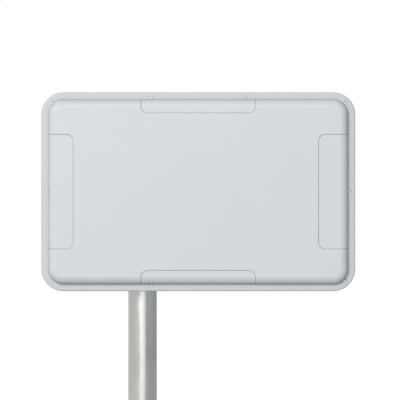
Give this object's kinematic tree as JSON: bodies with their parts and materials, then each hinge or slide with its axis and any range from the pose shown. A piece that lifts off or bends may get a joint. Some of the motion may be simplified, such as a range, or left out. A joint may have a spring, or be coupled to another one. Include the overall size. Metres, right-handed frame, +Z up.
{
  "type": "security gate",
  "caption": "Rounded flat sensor panel clamped off centre to a round steel post on a gusseted floor plate, forming a side of a walk-through security gate.",
  "frame": {"origin": "on the post's axis at the floor, at the underside of the base plate", "axes": "+Z up along the post, -Y out of the panel's face, +X along the panel's longer overhang"},
  "size_m": [0.65, 0.24, 1.156],
  "materials": {
    "white_shell": "fine moulded texture, cool white, satin",
    "galvanised_steel": "galvanised, satin",
    "zinc_fasteners": "bright zinc plate",
    "stainless_screws": "plain stainless",
    "cast_alloy": "as cast, tumbled",
    "black_plastic": "moulded, fine spark texture",
    "black_rubber": "matt",
    "seal_foam": "closed-cell foam",
    "copper_strip": "copper, lightly oxidised",
    "circuit_board": "green solder resist",
    "tinned_steel": "tin plate",
    "natural_plastic": "unpigmented moulded plastic"
  },
  "bodies": {
    "stand": {"base_plate": "galvanised_steel", "base_gusset_1": "galvanised_steel", "base_gusset_2": "galvanised_steel", "base_gusset_3": "galvanised_steel", "base_gusset_4": "galvanised_steel", "foot_weld": "galvanised_steel", "post_tube": "galvanised_steel", "post_cap": "black_plastic", "cable_grommet": "black_rubber"},
    "height_collar": {"stop_collar": "cast_alloy", "stop_collar_screw": "zinc_fasteners", "stop_collar_nut": "zinc_fasteners"},
    "panel_head": {"hat_bracket": "galvanised_steel", "bracket_screw_1": "zinc_fasteners", "bracket_screw_2": "zinc_fasteners", "bracket_screw_3": "zinc_fasteners", "bracket_screw_4": "zinc_fasteners", "upper_clamp_saddle": "cast_alloy", "upper_clamp_strap": "cast_alloy", "upper_clamp_bolt_1": "zinc_fasteners", "upper_clamp_bolt_2": "zinc_fasteners", "upper_clamp_nut_1": "zinc_fasteners", "upper_clamp_nut_2": "zinc_fasteners", "lower_clamp_saddle": "cast_alloy", "lower_clamp_strap": "cast_alloy", "lower_clamp_bolt_1": "zinc_fasteners", "lower_clamp_bolt_2": "zinc_fasteners", "lower_clamp_nut_1": "zinc_fasteners", "lower_clamp_nut_2": "zinc_fasteners", "front_cover": "white_shell", "seal_gasket": "seal_foam", "rear_tray": "white_shell", "cover_screw_01": "stainless_screws", "cover_screw_02": "stainless_screws", "cover_screw_03": "stainless_screws", "cover_screw_04": "stainless_screws", "cover_screw_05": "stainless_screws", "cover_screw_06": "stainless_screws", "cover_screw_07": "stainless_screws", "cover_screw_08": "stainless_screws", "cover_screw_09": "stainless_screws", "cover_screw_10": "stainless_screws", "gland_body": "black_plastic", "gland_cap": "black_plastic", "gland_locknut": "black_plastic", "vent_plug": "black_plastic", "antenna_carrier": "natural_plastic", "antenna_loop": "copper_strip", "feed_lead_left": "black_rubber", "feed_lead_right": "black_rubber", "tuning_board": "circuit_board", "shield_can": "tinned_steel", "terminal_block": "black_plastic", "tuning_capacitor": "natural_plastic", "carrier_screw_1": "zinc_fasteners", "carrier_screw_2": "zinc_fasteners", "carrier_screw_3": "zinc_fasteners", "carrier_screw_4": "zinc_fasteners", "board_screw_1": "zinc_fasteners", "board_screw_2": "zinc_fasteners"}
  },
  "joints": [
    {"name": "height_slide", "type": "slide", "parent": "stand", "child": "height_collar", "axis": [0, 0, 1], "range_m": [-0.06, 0.06]},
    {"name": "panel_swivel", "type": "hinge", "parent": "height_collar", "child": "panel_head", "pos_m": [0, 0, 0.835], "axis": [0, 0, 1], "range_deg": [-90, 90]}
  ]
}
